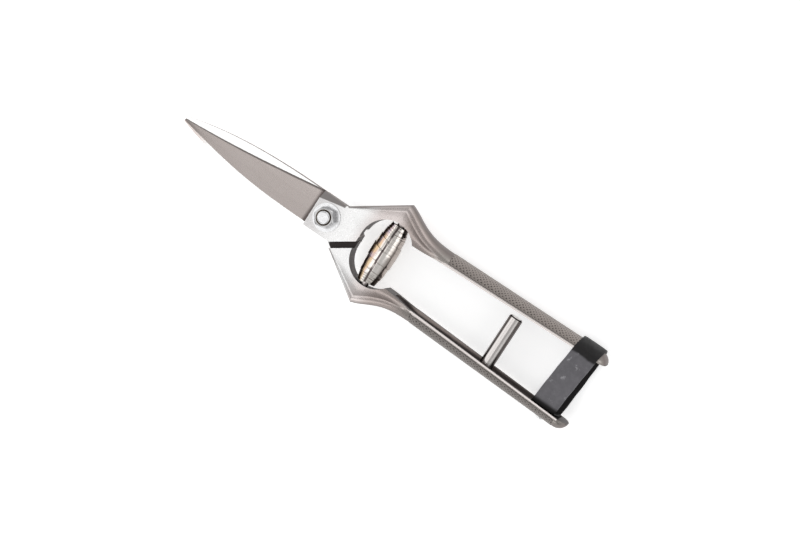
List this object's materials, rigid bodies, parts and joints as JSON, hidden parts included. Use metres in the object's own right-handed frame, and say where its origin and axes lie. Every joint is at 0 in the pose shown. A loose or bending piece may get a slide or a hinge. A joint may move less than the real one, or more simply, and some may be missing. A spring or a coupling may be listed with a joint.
{
  "type": "pruning shears",
  "caption": "Small forged steel shears with straight pointed blades, a bolted half-lap pivot, a volute spring, gutter handles and a leather strap catch.",
  "frame": {"origin": "middle of the closed tool's footprint, on the surface it lies on, nut upward", "axes": "+X from the blade tips to the handle ends, +Y to the front lever's handle, +Z along the pivot to the nut"},
  "size_m": [0.2041, 0.0478, 0.0176],
  "materials": {
    "forged_steel": "satin",
    "fastener": "satin",
    "bright_pin": "polished",
    "spring_steel": "polished",
    "leather": "matt",
    "rivet": "polished"
  },
  "bodies": {
    "rear": {"rear_lever": "forged_steel", "pivot_bolt": "fastener", "pivot_washer": "fastener", "pivot_nut": "fastener", "stop_pin": "bright_pin", "volute_spring": "spring_steel", "strap_rivet": "rivet", "rivet_burr": "rivet"},
    "front": {"front_lever": "forged_steel"},
    "strap": {"strap": "leather"}
  },
  "joints": [
    {"name": "pivot", "type": "hinge", "parent": "rear", "child": "front", "pos_m": [-0.02675, 0, 0.008], "axis": [0, 0, 1], "range_deg": [-3, 25], "deforming": ["volute_spring"]},
    {"name": "strap_swing", "type": "hinge", "parent": "rear", "child": "strap", "pos_m": [0.09105, -0.0138, 0.008], "axis": [0, 0, -1], "range_deg": [0, 60], "deforming": ["strap"]}
  ]
}
